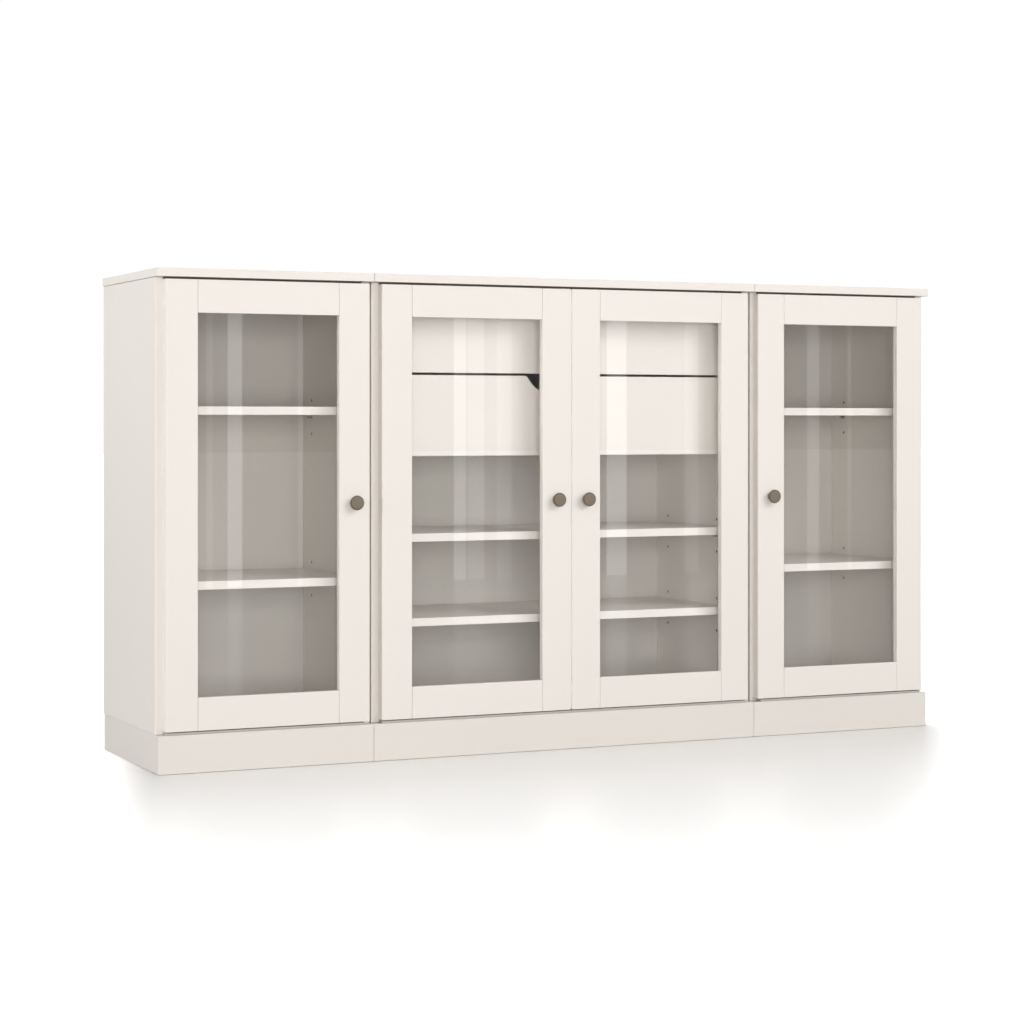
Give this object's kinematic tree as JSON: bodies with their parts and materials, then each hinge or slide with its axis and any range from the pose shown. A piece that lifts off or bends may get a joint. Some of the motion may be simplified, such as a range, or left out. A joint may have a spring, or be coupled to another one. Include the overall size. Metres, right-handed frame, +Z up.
{
  "type": "glass-door display cabinet run",
  "caption": "Low run of painted cabinets side by side with framed glass doors, inner shelves, a pair of inner drawers and a flush plinth.",
  "frame": {"origin": "middle of the footprint on the floor, knobs included", "axes": "+X along the run from left to right as seen from the front, the doors face -Y, +Z up"},
  "size_m": [1.619, 0.378, 0.89],
  "materials": {
    "painted_board": "satin warm-white lacquer on board",
    "back_board": "thin painted fibreboard",
    "drawer_board": "foil-faced drawer board",
    "clear_glass": "clear polished float glass",
    "bronze": "dark bronzed metal",
    "hinge_steel": "bright nickel-plated steel"
  },
  "bodies": {
    "carcass": {"drawer_spacer_l": "painted_board", "drawer_spacer_r": "painted_board", "left_back_panel": "back_board", "left_bottom_panel": "painted_board", "left_door_hinge_arm_lower": "hinge_steel", "left_door_hinge_arm_upper": "hinge_steel", "left_plinth": "painted_board", "left_shelf_lower": "painted_board", "left_shelf_upper": "painted_board", "left_side_panel_l": "painted_board", "left_side_panel_r": "painted_board", "left_top_panel": "painted_board", "middle_back_panel": "back_board", "middle_bottom_panel": "painted_board", "middle_left_door_hinge_arm_lower": "hinge_steel", "middle_left_door_hinge_arm_upper": "hinge_steel", "middle_plinth": "painted_board", "middle_right_door_hinge_arm_lower": "hinge_steel", "middle_right_door_hinge_arm_upper": "hinge_steel", "middle_shelf_lower": "painted_board", "middle_shelf_upper": "painted_board", "middle_side_panel_l": "painted_board", "middle_side_panel_r": "painted_board", "middle_top_panel": "painted_board", "right_back_panel": "back_board", "right_bottom_panel": "painted_board", "right_door_hinge_arm_lower": "hinge_steel", "right_door_hinge_arm_upper": "hinge_steel", "right_plinth": "painted_board", "right_shelf_lower": "painted_board", "right_shelf_upper": "painted_board", "right_side_panel_l": "painted_board", "right_side_panel_r": "painted_board", "right_top_panel": "painted_board"},
    "left_door": {"left_door_frame": "painted_board", "left_door_glass": "clear_glass", "left_door_hinge_cup_lower": "hinge_steel", "left_door_hinge_cup_upper": "hinge_steel", "left_door_knob": "bronze"},
    "middle_left_door": {"middle_left_door_frame": "painted_board", "middle_left_door_glass": "clear_glass", "middle_left_door_hinge_cup_lower": "hinge_steel", "middle_left_door_hinge_cup_upper": "hinge_steel", "middle_left_door_knob": "bronze"},
    "middle_right_door": {"middle_right_door_frame": "painted_board", "middle_right_door_glass": "clear_glass", "middle_right_door_hinge_cup_lower": "hinge_steel", "middle_right_door_hinge_cup_upper": "hinge_steel", "middle_right_door_knob": "bronze"},
    "right_door": {"right_door_frame": "painted_board", "right_door_glass": "clear_glass", "right_door_hinge_cup_lower": "hinge_steel", "right_door_hinge_cup_upper": "hinge_steel", "right_door_knob": "bronze"},
    "upper_drawer": {"upper_drawer_box": "drawer_board", "upper_drawer_front": "painted_board"},
    "lower_drawer": {"lower_drawer_box": "drawer_board", "lower_drawer_front": "painted_board"}
  },
  "joints": [
    {"name": "left_door_hinge", "type": "hinge", "parent": "carcass", "child": "left_door", "pos_m": [-0.794, -0.158, 0.4725], "axis": [0, 0, -1], "range_deg": [0, 105]},
    {"name": "middle_left_door_hinge", "type": "hinge", "parent": "carcass", "child": "middle_left_door", "pos_m": [-0.3855, -0.158, 0.4725], "axis": [0, 0, -1], "range_deg": [0, 105]},
    {"name": "middle_right_door_hinge", "type": "hinge", "parent": "carcass", "child": "middle_right_door", "pos_m": [0.3855, -0.158, 0.4725], "axis": [0, 0, 1], "range_deg": [0, 105]},
    {"name": "right_door_hinge", "type": "hinge", "parent": "carcass", "child": "right_door", "pos_m": [0.794, -0.158, 0.4725], "axis": [0, 0, 1], "range_deg": [0, 105]},
    {"name": "upper_drawer_slide", "type": "slide", "parent": "carcass", "child": "upper_drawer", "axis": [0, -1, 0], "range_m": [0, 0.1228]},
    {"name": "lower_drawer_slide", "type": "slide", "parent": "carcass", "child": "lower_drawer", "axis": [0, -1, 0], "range_m": [0, 0.1228]}
  ],
  "couplings": [
    {"joint": "middle_right_door_hinge", "follows": "middle_left_door_hinge", "ratio": 1},
    {"joint": "upper_drawer_slide", "follows": "middle_left_door_hinge", "m_per_rad": 0.067},
    {"joint": "lower_drawer_slide", "follows": "middle_left_door_hinge", "m_per_rad": 0.067}
  ]
}
